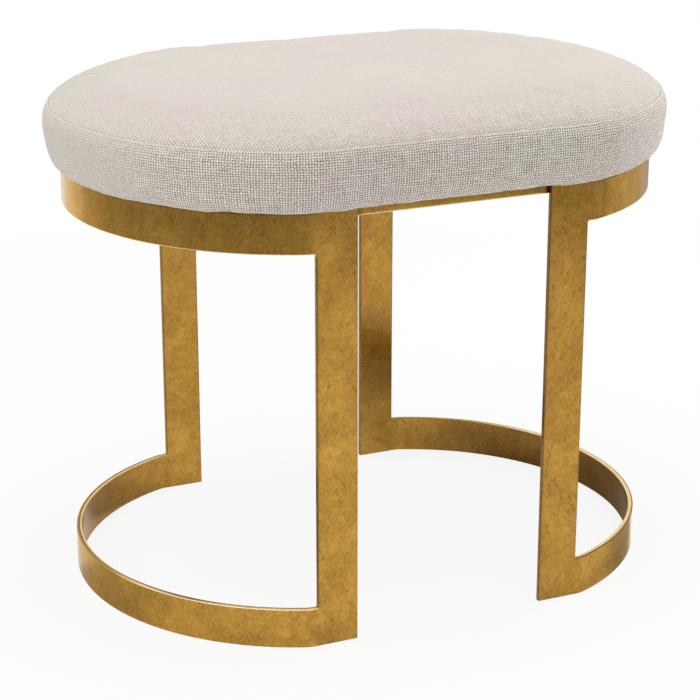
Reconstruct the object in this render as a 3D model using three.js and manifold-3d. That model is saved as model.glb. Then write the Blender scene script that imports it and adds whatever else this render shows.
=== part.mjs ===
// Vanity stool: two end frames of flat metal bar bent into arcs, joined by two
// rails, with one long upholstered seat screwed down on them from below.
// Millimetres. X runs along the stool, Y from front to back, Z up.
// The origin lies on the floor under the middle of the stool.

import * as THREE from 'three';
import { mergeVertices } from 'three/addons/utils/BufferGeometryUtils.js';
import Module from 'manifold-3d';

// End frames
const frameLength = 558;      // over the outermost points of the two arcs
const frameDepth = 406;       // over the outer faces of the front and back legs
const frameHeight = 398;
const legSpacing = 184;       // clear width between the two legs of one side
const legWidth = 38;
const barThickness = 5;
const bandHeight = 37;

// Rails under the seat, laid flat behind the legs
const railThickness = 9;
const railWidth = 32;
const railEdge = 0.8;         // chamfer on the long edges

// Seat tabs, welded inside the top bands
const tabReach = 44;
const tabWidth = 38;
const tabThickness = 5;
const tabCorner = 9;
const tabRootGap = 0.3;       // between the tab's curved root and the band

// Seat plan and board
const seatCorner = 110;       // plan radius where the straight sides meet the round ends
const boardThickness = 15;
const boardEdge = 2;          // rounded lower edge of the board

// Upholstery
const clothThickness = 1;
const softGap = 0.3;          // clearance between soft pieces and their neighbours
const hemOverhang = 4.3;      // how far the cloth stands out past the frame at its lower edge
const hemWidth = 18;          // cloth turned under the board
const hemDrop = 0.4;          // the lower roll hangs this far below the top of the frame
const seamOverhang = 8.7;     // the same at the top seam
const seamHeight = 53.6;      // top seam above the frame
const sideBulge = 6.9;        // swell of the side at mid height
const sideBulgePower = 2.9;
const crownRise = 23;         // top of the crown above the seam
const crownPower = 4.6;
const dustCoverThickness = 0.5;
const dustCoverMargin = 6;    // set in from the frame's outline

// Seat fasteners
const screwDiameter = 6;
const screwHeadDiameter = 12;
const screwHeadHeight = 3.3;
const screwHeadRound = 1.2;
const socketWidth = 4;        // hexagon across its flats
const socketDepth = 2.2;
const screwTipSetback = 3;    // screw tip below the top of its T-nut
const washerDiameter = 14;
const washerThickness = 1.2;
const holeClearance = 1;      // hole diameter over screw diameter
const fitGap = 0.3;           // clearance round pieces that sit in holes
const nutBarrelDiameter = 8.4;
const nutBarrelLength = 11;
const nutFlangeDiameter = 20;
const nutFlangeThickness = 1.4;
const dustCoverHole = 9;
const railScrewSpacing = 120;
const railScrewInset = 9;     // from the rail's inner edge, so the rail hides the heads
const tabScrewInset = 25;     // from the inner face of the band
const cutOverrun = 1;         // how far a cutting tool runs past the face it cuts

// Counts and shares
const bandSegments = 28;
const roundSegments = 16;
const socketSides = 6;
const endSegments = 16;       // steps round one end of the seat
const cornerSegments = 2;
const sideSegments = 4;
const wallSteps = 8;          // steps up the side of the cushion
const crownSteps = 7;         // steps from the seam to the flat middle of the crown
const crownReachShare = 0.75; // where the crown is level enough for one flat face

// Worked out from the above
const halfDepth = frameDepth / 2;
const halfLength = frameLength / 2;
const legInner = legSpacing / 2;
const legOuter = legInner + legWidth;
const legBack = halfDepth - barThickness;
const bandBulge = halfLength - legOuter;
const bandRadius = (bandBulge ** 2 + halfDepth ** 2) / (2 * bandBulge);
const bandCentre = halfLength - bandRadius;
const bandInner = bandRadius - barThickness;
const seatCore = halfLength - halfDepth;
const cornerY = halfDepth - seatCorner;
const cornerX = bandCentre + Math.sqrt((bandRadius - seatCorner) ** 2 - cornerY ** 2);
const endAngle = Math.atan2(cornerY, cornerX - bandCentre);

const dustCoverBase = frameHeight + softGap;
const hemBase = dustCoverBase + dustCoverThickness + softGap;
const boardBase = hemBase + clothThickness + softGap;
const boardTop = boardBase + boardThickness;
const boardOverhang = hemOverhang - clothThickness - softGap;
const foamBase = boardTop + softGap;
const rollBase = frameHeight - hemDrop;
const seamZ = frameHeight + seamHeight;
const crownHalfWidth = halfDepth + seamOverhang;

const nutTop = boardTop - softGap;
const nutBore = screwDiameter + 2 * fitGap;
const screwTip = nutTop - screwTipSetback;
const screwHole = screwDiameter + holeClearance;
const railY = legBack - railWidth / 2;
const railScrewX = railScrewSpacing / 2;
const railScrewY = legBack - railWidth + railScrewInset;
const tabOuter = halfLength - barThickness;
const seatScrews = [
  { place: 'front_left', x: -railScrewX, y: -railScrewY, under: railThickness },
  { place: 'front_right', x: railScrewX, y: -railScrewY, under: railThickness },
  { place: 'back_left', x: -railScrewX, y: railScrewY, under: railThickness },
  { place: 'back_right', x: railScrewX, y: railScrewY, under: railThickness },
  { place: 'left_end', x: -(tabOuter - tabScrewInset), y: 0, under: tabThickness },
  { place: 'right_end', x: tabOuter - tabScrewInset, y: 0, under: tabThickness },
];

const finishes = {
  gold: { color: 0xb08a3e, roughness: 0.38, metalness: 1 },
  cloth: { color: 0xd8d0c6, roughness: 0.95, metalness: 0 },
  foam: { color: 0xefe3c2, roughness: 1, metalness: 0 },
  plywood: { color: 0xc79f68, roughness: 0.75, metalness: 0 },
  lining: { color: 0x1d1d1e, roughness: 0.98, metalness: 0 },
  zinc: { color: 0xb7bbc0, roughness: 0.42, metalness: 1 },
};

const wasm = await Module();
wasm.setup();

const stool = new THREE.Group();

function addPiece(name, geometry, finish, x, y, z) {
  const mesh = new THREE.Mesh(geometry, new THREE.MeshStandardMaterial(finishes[finish]));
  mesh.name = name;
  mesh.position.set(x, y, z);
  stool.add(mesh);
  return mesh;
}

// Shared vertices merged and slivers dropped, so that the surface is one closed skin
function closedGeometry(geometry) {
  const bare = geometry.clone();
  bare.deleteAttribute('normal');
  bare.deleteAttribute('uv');
  const merged = mergeVertices(bare);
  const corners = merged.index.array;
  const kept = [];
  for (let i = 0; i < corners.length; i += 3) {
    const [a, b, c] = [corners[i], corners[i + 1], corners[i + 2]];
    if (a !== b && b !== c && c !== a) kept.push(a, b, c);
  }
  merged.setIndex(kept);
  merged.computeVertexNormals();
  return merged;
}

function toManifold(geometry) {
  const closed = closedGeometry(geometry);
  return new wasm.Manifold(new wasm.Mesh({
    numProp: 3,
    vertProperties: new Float32Array(closed.attributes.position.array),
    triVerts: new Uint32Array(closed.index.array),
  }));
}

function cutFrom(geometry, cutters) {
  let body = toManifold(geometry);
  for (const cutter of cutters) body = body.subtract(toManifold(cutter));
  const mesh = body.getMesh();
  const result = new THREE.BufferGeometry();
  result.setAttribute('position', new THREE.BufferAttribute(new Float32Array(mesh.vertProperties), 3));
  result.setIndex(Array.from(mesh.triVerts));
  result.computeVertexNormals();
  return result;
}

// Upright cylinder between two heights
function cylinderBetween(radius, low, high, x = 0, y = 0, sides = roundSegments) {
  const geometry = new THREE.CylinderGeometry(radius, radius, high - low, sides);
  geometry.rotateX(Math.PI / 2);
  geometry.translate(x, y, (low + high) / 2);
  return geometry;
}

// Solid of revolution about Z from a profile of [radius, height] points
function turned(profile) {
  const points = profile.map(([radius, height]) => new THREE.Vector2(radius, height));
  const geometry = new THREE.LatheGeometry(points, roundSegments);
  geometry.rotateX(Math.PI / 2);
  return closedGeometry(geometry);
}

// Seat plan at a distance outside the frame's outline. Every such plan has the
// same centres: one for each round end and one for each of the four corners.
function seatPlan(outset) {
  const points = [];
  const arc = (centreX, centreY, radius, from, to, steps) => {
    for (let i = 0; i < steps; i += 1) {
      const angle = from + ((to - from) * i) / steps;
      points.push(new THREE.Vector2(
        centreX + radius * Math.cos(angle), centreY + radius * Math.sin(angle)));
    }
  };
  const quarter = Math.PI / 2;
  const cornerR = seatCorner + outset;
  const endR = bandRadius + outset;
  for (const turn of [0, Math.PI]) {
    const side = Math.cos(turn);
    arc(side * bandCentre, 0, endR, turn - endAngle, turn + endAngle, endSegments);
    arc(side * cornerX, side * cornerY, cornerR, turn + endAngle, turn + quarter, cornerSegments);
    for (let i = 0; i < sideSegments; i += 1) {
      const along = 1 - (2 * i) / sideSegments;
      points.push(new THREE.Vector2(side * cornerX * along, side * (halfDepth + outset)));
    }
    arc(-side * cornerX, side * cornerY, cornerR, turn + quarter, turn + Math.PI - endAngle,
      cornerSegments);
  }
  return points;
}

function planRing(outset, z) {
  return seatPlan(outset).map((p) => new THREE.Vector3(p.x, p.y, z));
}

// Plan at the seam drawn in towards the seat's long middle line by a share of its width
function crownRing(share, z) {
  return seatPlan(seamOverhang).map((p) => {
    const core = Math.max(-seatCore, Math.min(seatCore, p.x));
    return new THREE.Vector3(core + (p.x - core) * (1 - share), p.y * (1 - share), z);
  });
}

// Closed surface through rings of equal count, with flat ends or joined into a loop
function skinRings(rings, looped) {
  const count = rings[0].length;
  const vertices = rings.flat();
  const faces = [];
  const spans = looped ? rings.length : rings.length - 1;
  for (let r = 0; r < spans; r += 1) {
    const low = r * count;
    const high = ((r + 1) % rings.length) * count;
    for (let i = 0; i < count; i += 1) {
      const next = (i + 1) % count;
      faces.push(low + i, low + next, high + next, low + i, high + next, high + i);
    }
  }
  if (!looped) {
    const last = (rings.length - 1) * count;
    for (const [start, facesUp] of [[0, false], [last, true]]) {
      const middle = vertices.length;
      vertices.push(new THREE.Vector3(0, 0, vertices[start].z));
      for (let i = 0; i < count; i += 1) {
        const next = (i + 1) % count;
        if (facesUp) faces.push(middle, start + i, start + next);
        else faces.push(middle, start + next, start + i);
      }
    }
  }
  const geometry = new THREE.BufferGeometry();
  geometry.setFromPoints(vertices);
  geometry.setIndex(faces);
  geometry.computeVertexNormals();
  return geometry;
}

// Side of the cushion: [outset, height] at a share of the way up from the lower roll
function sidePoint(share, inset = 0) {
  const swell = 1 - Math.abs(2 * share - 1) ** sideBulgePower;
  const outset = hemOverhang + (seamOverhang - hemOverhang) * share + sideBulge * swell;
  return [outset - inset, rollBase + (seamZ - rollBase) * share];
}

// Crown: height above the seam at a share of the way in to the middle line
function crownHeight(share) {
  return crownRise * Math.sqrt(1 - (1 - share) ** crownPower);
}

function crownShare(step) {
  return crownReachShare * (step / crownSteps) ** 2;
}

// Crown surface moved inwards, across its own slope, by an inset
function crownPoint(share, inset = 0) {
  const nudgeShare = crownReachShare / crownSteps ** 2 / crownSteps;
  const ahead = Math.min(1, share + nudgeShare);
  const run = (ahead - share) * crownHalfWidth;
  const rise = crownHeight(ahead) - crownHeight(share);
  const slope = Math.hypot(run, rise);
  return [
    share + ((rise / slope) * inset) / crownHalfWidth,
    seamZ + crownHeight(share) - (run / slope) * inset,
  ];
}

function cuttersForScrews(diameter, low, high) {
  return seatScrews.map(({ x, y }) => cylinderBetween(diameter / 2, low, high, x, y));
}

// Arc bands: a ring segment cut off square at the outer edges of the legs
function bandGeometry() {
  const outerAngle = Math.acos((legOuter - bandCentre) / bandRadius);
  const innerAngle = Math.acos((legOuter - bandCentre) / bandInner);
  const outline = new THREE.Shape();
  outline.absarc(bandCentre, 0, bandRadius, -outerAngle, outerAngle, false);
  outline.absarc(bandCentre, 0, bandInner, innerAngle, -innerAngle, true);
  return new THREE.ExtrudeGeometry(outline, {
    depth: bandHeight, bevelEnabled: false, curveSegments: bandSegments,
  });
}

function addEndFrames() {
  for (const [side, sign] of [['left', -1], ['right', 1]]) {
    for (const [level, z] of [['top', frameHeight - bandHeight], ['bottom', 0]]) {
      const band = addPiece(`${side}_${level}_band`, bandGeometry(), 'gold', 0, 0, z);
      if (sign < 0) band.rotation.z = Math.PI;
    }
    for (const [face, depthSign] of [['front', -1], ['back', 1]]) {
      const leg = new THREE.BoxGeometry(legWidth, barThickness, frameHeight);
      addPiece(`${face}_${side}_leg`, leg, 'gold', sign * (legInner + legWidth / 2),
        depthSign * (halfDepth - barThickness / 2), frameHeight / 2);
    }
  }
}

// Flat bar in plan with its long edges chamfered, lying with its top at the frame's top
function chamferedBar(length, width, thickness, edge) {
  const section = new THREE.Shape();
  section.moveTo(-width / 2 + edge, 0);
  section.lineTo(width / 2 - edge, 0);
  section.lineTo(width / 2, edge);
  section.lineTo(width / 2, thickness - edge);
  section.lineTo(width / 2 - edge, thickness);
  section.lineTo(-width / 2 + edge, thickness);
  section.lineTo(-width / 2, thickness - edge);
  section.lineTo(-width / 2, edge);
  section.closePath();
  const bar = new THREE.ExtrudeGeometry(section, { depth: length, bevelEnabled: false });
  bar.translate(0, 0, -length / 2);
  bar.rotateX(Math.PI / 2);
  bar.rotateZ(Math.PI / 2);
  return bar;
}

function addRails() {
  for (const [face, sign] of [['front', -1], ['back', 1]]) {
    const holeY = sign * (railScrewY - railY);
    const holes = [-railScrewX, railScrewX].map((x) =>
      cylinderBetween(screwHole / 2, -cutOverrun, railThickness + cutOverrun, x, holeY));
    const bar = chamferedBar(2 * legOuter, railWidth, railThickness, railEdge);
    addPiece(`${face}_rail`, cutFrom(bar, holes), 'gold', 0, sign * railY,
      frameHeight - railThickness);
  }
}

// Seat tab: a plate with a round-cornered free end, its root shaped to the band
function tabGeometry() {
  const halfWidth = tabWidth / 2;
  const rootRadius = bandInner - tabRootGap;
  const rootAngle = Math.asin(halfWidth / rootRadius);
  const freeEnd = tabOuter - tabReach;
  const outline = new THREE.Shape();
  outline.absarc(bandCentre, 0, rootRadius, -rootAngle, rootAngle, false);
  outline.lineTo(freeEnd + tabCorner, halfWidth);
  outline.absarc(freeEnd + tabCorner, halfWidth - tabCorner, tabCorner,
    Math.PI / 2, Math.PI, false);
  outline.absarc(freeEnd + tabCorner, tabCorner - halfWidth, tabCorner,
    Math.PI, 1.5 * Math.PI, false);
  outline.closePath();
  const plate = new THREE.ExtrudeGeometry(outline, {
    depth: tabThickness, bevelEnabled: false, curveSegments: roundSegments / 2,
  });
  const hole = cylinderBetween(screwHole / 2, -cutOverrun, tabThickness + cutOverrun,
    tabOuter - tabScrewInset);
  return cutFrom(plate, [hole]);
}

function addSeatTabs() {
  for (const [side, turn] of [['left', Math.PI], ['right', 0]]) {
    const tab = addPiece(`${side}_seat_tab`, tabGeometry(), 'gold', 0, 0,
      frameHeight - tabThickness);
    tab.rotation.z = turn;
  }
}

// Plywood board with a rounded lower edge, bored and recessed for the T-nuts
function addSeatBoard() {
  const rings = [
    planRing(boardOverhang - boardEdge, boardBase),
    planRing(boardOverhang, boardBase + boardEdge),
    planRing(boardOverhang, boardTop),
  ];
  const boreTop = boardTop + cutOverrun;
  const cutters = [
    ...cuttersForScrews(nutBarrelDiameter + 2 * fitGap, boardBase - cutOverrun, boreTop),
    ...cuttersForScrews(nutFlangeDiameter + 2 * fitGap,
      nutTop - nutFlangeThickness - softGap, boreTop),
  ];
  addPiece('seat_board', cutFrom(skinRings(rings, false), cutters), 'plywood', 0, 0, 0);
}

// Foam block that fills the cover: flat on the board, full at the sides, crowned on top
function addFoamPad() {
  const inset = clothThickness + softGap;
  const boardShare = (foamBase - rollBase) / (seamZ - rollBase);
  const rings = [];
  for (let i = 0; i <= wallSteps; i += 1) {
    const share = boardShare + ((1 - boardShare) * i) / wallSteps;
    rings.push(planRing(...sidePoint(share, inset)));
  }
  for (let i = 1; i <= crownSteps; i += 1) {
    rings.push(crownRing(...crownPoint(crownShare(i), inset)));
  }
  addPiece('foam_pad', skinRings(rings, false), 'foam', 0, 0, 0);
}

// Side cloth: a closed strip from the turned-under hem round the roll and up to the seam
function addCoverBoxing() {
  const hemInner = hemOverhang - hemWidth;
  const shares = [];
  for (let i = 0; i < wallSteps; i += 1) shares.push(i / wallSteps);
  shares.push(1);
  const outside = [
    [hemInner, hemBase],
    [hemOverhang - 3 * clothThickness, hemBase],
    ...shares.map((share) => sidePoint(share)),
  ];
  const inside = [
    ...shares.slice(1).reverse().map((share) => sidePoint(share, clothThickness)),
    [hemOverhang - clothThickness, hemBase + clothThickness],
    [hemInner, hemBase + clothThickness],
  ];
  const rings = [...outside, ...inside].map(([outset, z]) => planRing(outset, z));
  addPiece('cover_boxing', skinRings(rings, true), 'cloth', 0, 0, 0);
}

// Top cloth: a thin crowned panel that starts just above the seam
function addCoverTopPanel() {
  const outer = [];
  const inner = [];
  for (let i = 0; i <= crownSteps; i += 1) {
    const share = crownShare(i);
    outer.push(crownPoint(share));
    inner.unshift(crownPoint(share, clothThickness));
  }
  const rim = inner[inner.length - 1];
  rim[1] = seamZ;
  const rings = [...inner, ...outer].map(([share, z]) => crownRing(share, z + softGap));
  addPiece('cover_top_panel', skinRings(rings, false), 'cloth', 0, 0, 0);
}

function addDustCover() {
  const outline = new THREE.Shape(seatPlan(-dustCoverMargin));
  for (const { x, y } of seatScrews) {
    const hole = new THREE.Path();
    hole.absarc(x, y, dustCoverHole / 2, 0, 2 * Math.PI, false);
    outline.holes.push(hole);
  }
  const sheet = new THREE.ExtrudeGeometry(outline, {
    depth: dustCoverThickness, bevelEnabled: false, curveSegments: roundSegments / 2,
  });
  addPiece('dust_cover', sheet, 'lining', 0, 0, dustCoverBase);
}

function addSeatFasteners() {
  const headR = screwHeadDiameter / 2;
  const shankR = screwDiameter / 2;
  for (const { place, x, y, under } of seatScrews) {
    const washerTop = frameHeight - under;
    const headTop = washerTop - washerThickness;
    const shank = screwTip - headTop;
    const body = turned([
      [0, -screwHeadHeight],
      [headR - screwHeadRound, -screwHeadHeight],
      [headR, screwHeadRound - screwHeadHeight],
      [headR, 0],
      [shankR, 0],
      [shankR, shank - shankR / 2],
      [shankR / 2, shank],
      [0, shank],
    ]);
    const socket = cylinderBetween(socketWidth / Math.sqrt(3), -screwHeadHeight - cutOverrun,
      socketDepth - screwHeadHeight, 0, 0, socketSides);
    addPiece(`seat_screw_${place}`, cutFrom(body, [socket]), 'zinc', x, y, headTop);

    const washerBore = (screwDiameter + 2 * fitGap) / 2;
    addPiece(`seat_washer_${place}`, turned([
      [washerBore, 0],
      [washerDiameter / 2, 0],
      [washerDiameter / 2, washerThickness],
      [washerBore, washerThickness],
      [washerBore, 0],
    ]), 'zinc', x, y, headTop);

    const barrelLow = -nutFlangeThickness - nutBarrelLength;
    addPiece(`seat_tnut_${place}`, turned([
      [nutBore / 2, barrelLow],
      [nutBarrelDiameter / 2, barrelLow],
      [nutBarrelDiameter / 2, -nutFlangeThickness],
      [nutFlangeDiameter / 2, -nutFlangeThickness],
      [nutFlangeDiameter / 2, 0],
      [nutBore / 2, 0],
      [nutBore / 2, barrelLow],
    ]), 'zinc', x, y, nutTop);
  }
}

addEndFrames();
addRails();
addSeatTabs();
addSeatBoard();
addFoamPad();
addCoverBoxing();
addCoverTopPanel();
addDustCover();
addSeatFasteners();

export default stool;
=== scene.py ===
import math

import bmesh
import bpy
import numpy as np
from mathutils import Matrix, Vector


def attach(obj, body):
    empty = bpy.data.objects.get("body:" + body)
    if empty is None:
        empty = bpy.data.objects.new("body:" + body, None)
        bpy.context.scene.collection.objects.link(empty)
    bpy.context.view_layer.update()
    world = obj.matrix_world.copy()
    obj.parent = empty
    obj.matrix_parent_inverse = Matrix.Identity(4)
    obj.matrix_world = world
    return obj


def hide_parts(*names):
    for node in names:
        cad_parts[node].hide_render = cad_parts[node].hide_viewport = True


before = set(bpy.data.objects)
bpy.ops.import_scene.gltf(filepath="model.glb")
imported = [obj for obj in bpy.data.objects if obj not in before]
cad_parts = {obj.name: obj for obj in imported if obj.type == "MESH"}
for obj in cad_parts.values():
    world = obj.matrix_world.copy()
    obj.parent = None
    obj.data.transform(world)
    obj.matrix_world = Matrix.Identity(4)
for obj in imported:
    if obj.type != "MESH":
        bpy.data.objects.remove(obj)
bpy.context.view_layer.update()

# Sizes in the dictionaries are millimetres. Meshes are written in metres, X along the seat,
# Y to the back, Z up, with the floor at zero.
mm = 0.001

endFrame = {
    "length": 558, "depth": 406, "height": 398,
    "legGap": 184, "legWidth": 38, "bar": 5, "band": 37,
    "arris": 0.9,            # rounding of the bar's long edges
    "bend": 14,              # length over which the band leaves the line of the leg
}
seat = {
    "corner": 110,           # plan radius where the straight sides meet the round ends
    "hemOut": 4.3, "hemWidth": 18, "hemZ": 399.1, "rollZ": 397.6,
    "seamOut": 8.7, "seamZ": 451.6, "ridge": 0.9,
    "bulge": 6.9, "bulgePower": 2.9,
    "rise": 23, "risePower": 6, "riseStart": 0.01,
    "topCloth": 1.0, "sideCloth": 0.7,
    "columns": 520,          # points round the seat
}

halfLength = endFrame["length"] / 2
halfDepth = endFrame["depth"] / 2
legInner = endFrame["legGap"] / 2
legOuter = legInner + endFrame["legWidth"]
bandBulge = halfLength - legOuter
bandRadius = (bandBulge ** 2 + halfDepth ** 2) / (2 * bandBulge)
bandCentre = halfLength - bandRadius
seatCore = halfLength - halfDepth


# A tube of rows of points in millimetres, each row a closed loop, with flat ends if capped. Face (i, j)
# joins points j and j + 1 of rows i and i + 1. uvGrid has one column more, and marks are {name: numbers}.
def addGrid(name, grid, uvGrid=None, marks=None, capped=False):
    rows, columns = grid.shape[:2]
    i, j = np.meshgrid(np.arange(rows - 1), np.arange(columns), indexing="ij")

    def corners(table, right):
        return np.stack([table[i, j], table[i, right], table[i + 1, right], table[i + 1, j]], 2)

    numbers = np.arange(rows * columns).reshape(rows, columns)
    faces = corners(numbers, (j + 1) % columns).reshape(-1, 4).tolist()
    if capped:
        faces += [numbers[0, ::-1].tolist(), numbers[-1].tolist()]
    mesh = bpy.data.meshes.new(name)
    mesh.from_pydata((grid.reshape(-1, 3) * mm).tolist(), [], faces)
    if uvGrid is not None:
        layer = mesh.uv_layers.new(name="weave")
        layer.data.foreach_set("uv", corners(uvGrid, j + 1).astype(np.float32).ravel())
    for markName, values in (marks or {}).items():
        mark = mesh.attributes.new(markName, "FLOAT", "POINT")
        mark.data.foreach_set("value", np.asarray(values, np.float32).ravel())
    mesh.polygons.foreach_set("use_smooth", np.full(len(mesh.polygons), True))
    mesh.update()
    piece = bpy.data.objects.new(name, mesh)
    bpy.context.scene.collection.objects.link(piece)
    return piece


# Material and body of a piece, and the CAD pieces that it replaces. Its slot name is not used.
def finishPiece(piece, material, slotName, *replaced):
    piece.data.materials.clear()
    piece.data.materials.append(material)
    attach(piece, "root")
    if replaced:
        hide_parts(*replaced)
    return piece


# 3x^2 - 2x^3, level at 0 and at 1.
def smoothStep(x):
    x = np.clip(x, 0, 1)
    return x * x * (3 - 2 * x)


# 1 near by and 0 from reach on, falling straight over the last soft.
def nearBy(distance, reach, soft):
    return np.clip((reach - distance) / soft, 0, 1)


# Linear colour of an sRGB colour given as 0 to 255.
def srgb(r, g, b):
    c = np.array([r, g, b]) / 255
    linear = np.where(c <= 0.04045, c / 12.92, ((c + 0.055) / 1.055) ** 2.4)
    return (*linear.tolist(), 1.0)


# Short names for the nodes of one material; a socket argument is a socket, a number or None.
class NodeBench:
    def __init__(self, tree):
        self.tree = tree

    def add(self, kind, inputs=None, **settings):
        node = self.tree.nodes.new(kind)
        for key, value in settings.items():
            setattr(node, key, value)
        for key, value in (inputs or {}).items():
            self.put(node.inputs[key], value)
        return node

    def put(self, socket, value):
        if isinstance(value, bpy.types.NodeSocket):
            self.tree.links.new(value, socket)
        elif value is not None:
            socket.default_value = value

    def math(self, operation, a, b=None, c=None, clamp=False):
        node = self.add("ShaderNodeMath", operation=operation, use_clamp=clamp)
        for socket, value in zip(node.inputs, (a, b, c)):
            self.put(socket, value)
        return node.outputs[0]

    def times(self, value, *others):
        for other in others:
            value = self.math("MULTIPLY", value, other)
        return value

    # value * by + plus
    def scaled(self, value, by, plus, clamp=False):
        return self.math("MULTIPLY_ADD", value, by, plus, clamp)

    # 1 - value
    def rest(self, value):
        return self.math("SUBTRACT", 1.0, value)

    def vector(self, operation, a, b):
        return self.add("ShaderNodeVectorMath", {0: a, 1: b}, operation=operation).outputs[0]

    def place(self):
        return self.add("ShaderNodeTexCoord").outputs["Object"]

    def mark(self, name):
        return self.add("ShaderNodeAttribute", attribute_name=name).outputs["Fac"]

    def noise(self, vector, scale, detail=3.0, rough=0.5, distortion=0.0):
        node = self.add("ShaderNodeTexNoise", {
            "Vector": vector, "Scale": scale, "Detail": detail, "Roughness": rough,
            "Distortion": distortion})
        return node.outputs["Fac"]

    def mapping(self, vector, turn=(0, 0, 0), scale=(1, 1, 1), location=(0, 0, 0)):
        node = self.add("ShaderNodeMapping", {
            "Vector": vector, "Rotation": [math.radians(t) for t in turn],
            "Scale": scale, "Location": location})
        return node.outputs[0]

    # 0 below low, 1 above high, smooth between.
    def band(self, value, low, high):
        node = self.add("ShaderNodeMapRange", {
            "Value": value, "From Min": low, "From Max": high}, interpolation_type="SMOOTHSTEP")
        return node.outputs[0]

    # 1 below low, 0 above high, smooth between.
    def fade(self, value, low, high):
        return self.rest(self.band(value, low, high))

    def ramp(self, value, stops):
        node = self.add("ShaderNodeValToRGB", {"Fac": value})
        marks = node.color_ramp.elements
        while len(marks) < len(stops):
            marks.new(0.5)
        for mark, (place, colour) in zip(marks, stops):
            mark.position = place
            mark.color = colour
        return node.outputs[0]

    def mix(self, share, a, b, blend="MIX"):
        node = self.add("ShaderNodeMix", data_type="RGBA", blend_type=blend)
        for index, value in ((0, share), (6, a), (7, b)):
            self.put(node.inputs[index], value)
        return node.outputs[2]

    def mixShader(self, share, first, second):
        return self.add("ShaderNodeMixShader", {0: share, 1: first, 2: second}).outputs[0]

    # Colour, roughness and a bump of the given depth in millimetres.
    def dress(self, shader, colour, rough, strength, depth, height):
        bump = self.add("ShaderNodeBump", {"Strength": strength, "Distance": depth * mm, "Height": height})
        for key, value in (("Base Color", colour), ("Roughness", rough), ("Normal", bump.outputs[0])):
            self.put(shader.inputs[key], value)


# A material with one Principled shader; returns (material, bench, shader).
def newMaterial(name, shown, sockets=None):
    material = bpy.data.materials.new(name)
    material.use_nodes = True
    material.diffuse_color = shown
    shader = material.node_tree.nodes["Principled BSDF"]
    for key, value in (sockets or {}).items():
        shader.inputs[key].default_value = value
    return material, NodeBench(material.node_tree), shader


goldLook = {
    "light": srgb(206, 159, 66), "middle": srgb(180, 134, 49), "dark": srgb(150, 106, 36),
    "olive": srgb(150, 120, 50),     # greenish cast in patches
    "vein": srgb(112, 76, 34),       # fine dark lines
    # tint of the painted shade on faces, then the colours of painted shade and of painted highlights along
    # edges
    "speck": srgb(112, 78, 34), "glazeTint": srgb(160, 140, 132),
    "edge": srgb(92, 66, 34), "paintedHighlight": srgb(248, 222, 170),
    "grazing": srgb(246, 227, 188),  # tint of what it reflects at a grazing angle
    "rough": 0.20, "roughSpread": 0.12, "coat": 0.36, "coatRough": 0.08,
    "cloud": 0.36, "body": 0.29, "mottle": 0.35,    # shares of the tone
    "strokes": (
        (42, 0, "light", 0.34), (33, 3, "speck", 0.60), (-48, 5, "light", 0.28), (-30, 9, "speck", 0.50)),
    "strokeScale": (880, 420, 90),
}
linenLook = {
    # the ramp from hole to top paints shade in the pinholes and between yarns and a highlight on the yarn
    # tops
    "hole": srgb(26, 22, 18), "valley": srgb(170, 160, 150), "yarn": srgb(226, 217, 207),
    "top": srgb(255, 251, 245),
    "closed": srgb(214, 206, 198),   # plain colour shown where the painted pinhole shade is faded out
    "ridge": srgb(234, 227, 218),    # painted highlight on the rolled edge along the seam
    "pinkCast": srgb(255, 251, 252), "greenCast": srgb(254, 254, 250),
    "pitch": (2.32, 2.18), "relief": 0.5,
}
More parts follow.
